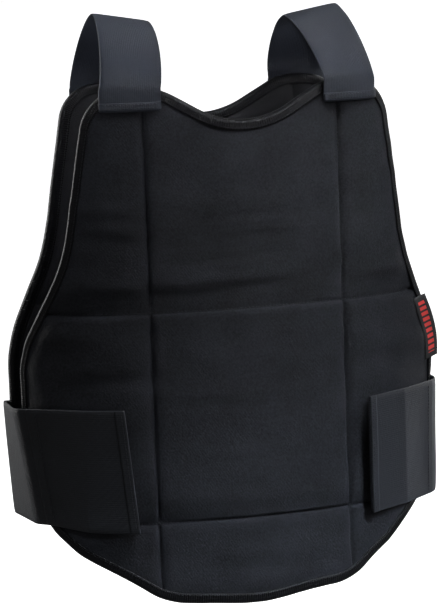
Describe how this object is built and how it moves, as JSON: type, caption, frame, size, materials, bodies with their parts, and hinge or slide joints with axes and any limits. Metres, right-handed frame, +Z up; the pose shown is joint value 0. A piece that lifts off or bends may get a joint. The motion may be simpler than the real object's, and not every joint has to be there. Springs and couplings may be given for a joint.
{
  "type": "chest protector",
  "caption": "Quilted foam torso protector: front and back panels joined by elastic shoulder straps and wide hook-and-loop waist belts.",
  "frame": {"origin": "midway between the two shoulder straps, under the top of their loops, where a shoulder or hanger carries them", "axes": "+X to the wearer's left, -Y the way the wearer faces (front panel), +Z up"},
  "size_m": [0.4044, 0.1527, 0.5117],
  "materials": {
    "panel_cloth": "plain-woven black nylon oxford, slight sheen",
    "lining_cloth": "smooth black nylon taffeta",
    "foam": "closed-cell foam, matt charcoal",
    "binding_tape": "black ribbed grosgrain tape",
    "shoulder_elastic": "black woven elastic with a fine rib",
    "waist_elastic": "black woven elastic with a fine rib",
    "loop_pile": "black loop pile",
    "hook_tape": "black hook tape",
    "label": "folded woven label, black with plain red bars"
  },
  "bodies": {
    "back_panel": {"back_outer_shell": "panel_cloth", "back_lining": "lining_cloth", "back_foam_chest_right": "foam", "back_foam_chest_centre": "foam", "back_foam_chest_left": "foam", "back_foam_belly_right": "foam", "back_foam_belly_centre": "foam", "back_foam_belly_left": "foam", "back_foam_hip_right": "foam", "back_foam_hip_centre": "foam", "back_foam_hip_left": "foam", "back_binding": "binding_tape", "left_strap_rear": "shoulder_elastic", "left_strap_loop_patch": "loop_pile", "left_belt_root": "waist_elastic", "right_strap_rear": "shoulder_elastic", "right_strap_loop_patch": "loop_pile", "right_belt_root": "waist_elastic"},
    "front_panel": {"front_outer_shell": "panel_cloth", "front_lining": "lining_cloth", "front_foam_chest_right": "foam", "front_foam_chest_centre": "foam", "front_foam_chest_left": "foam", "front_foam_belly_right": "foam", "front_foam_belly_centre": "foam", "front_foam_belly_left": "foam", "front_foam_hip_right": "foam", "front_foam_hip_centre": "foam", "front_foam_hip_left": "foam", "front_binding": "binding_tape", "left_strap_front": "shoulder_elastic", "left_strap_front_hem": "shoulder_elastic", "left_belt_loop_patch": "loop_pile", "right_strap_front": "shoulder_elastic", "right_strap_front_hem": "shoulder_elastic", "right_belt_loop_patch": "loop_pile", "side_tag": "label"},
    "left_belt": {"left_belt_side": "waist_elastic"},
    "left_belt_end": {"left_belt_tab": "waist_elastic", "left_belt_hook_patch": "hook_tape"},
    "left_strap_end": {"left_strap_tab": "shoulder_elastic", "left_strap_hook_patch": "hook_tape"},
    "right_belt": {"right_belt_side": "waist_elastic"},
    "right_belt_end": {"right_belt_tab": "waist_elastic", "right_belt_hook_patch": "hook_tape"},
    "right_strap_end": {"right_strap_tab": "shoulder_elastic", "right_strap_hook_patch": "hook_tape"}
  },
  "joints": [
    {"name": "front_panel_swing", "type": "hinge", "parent": "back_panel", "child": "front_panel", "pos_m": [0, 0.002, 0.0105], "axis": [-1, 0, 0], "range_deg": [0, 20]},
    {"name": "left_belt_swing", "type": "hinge", "parent": "back_panel", "child": "left_belt", "pos_m": [0.19825, 0.04, -0.3868], "axis": [0, 0, 1], "range_deg": [0, 120]},
    {"name": "left_belt_peel", "type": "hinge", "parent": "left_belt", "child": "left_belt_end", "pos_m": [0.17865, -0.02887, -0.3868], "axis": [0, 0, 1], "range_deg": [0, 75]},
    {"name": "left_strap_peel", "type": "hinge", "parent": "back_panel", "child": "left_strap_end", "pos_m": [0.0925, 0.075, -0.0663], "axis": [1, 0, 0], "range_deg": [0, 110]},
    {"name": "right_belt_swing", "type": "hinge", "parent": "back_panel", "child": "right_belt", "pos_m": [-0.19825, 0.04, -0.3868], "axis": [0, 0, -1], "range_deg": [0, 120]},
    {"name": "right_belt_peel", "type": "hinge", "parent": "right_belt", "child": "right_belt_end", "pos_m": [-0.17865, -0.02887, -0.3868], "axis": [0, 0, -1], "range_deg": [0, 75]},
    {"name": "right_strap_peel", "type": "hinge", "parent": "back_panel", "child": "right_strap_end", "pos_m": [-0.0925, 0.075, -0.0663], "axis": [1, 0, 0], "range_deg": [0, 110]}
  ],
  "couplings": [
    {"joint": "left_belt_swing", "follows": "front_panel_swing", "ratio": 6},
    {"joint": "right_belt_swing", "follows": "front_panel_swing", "ratio": 6}
  ]
}
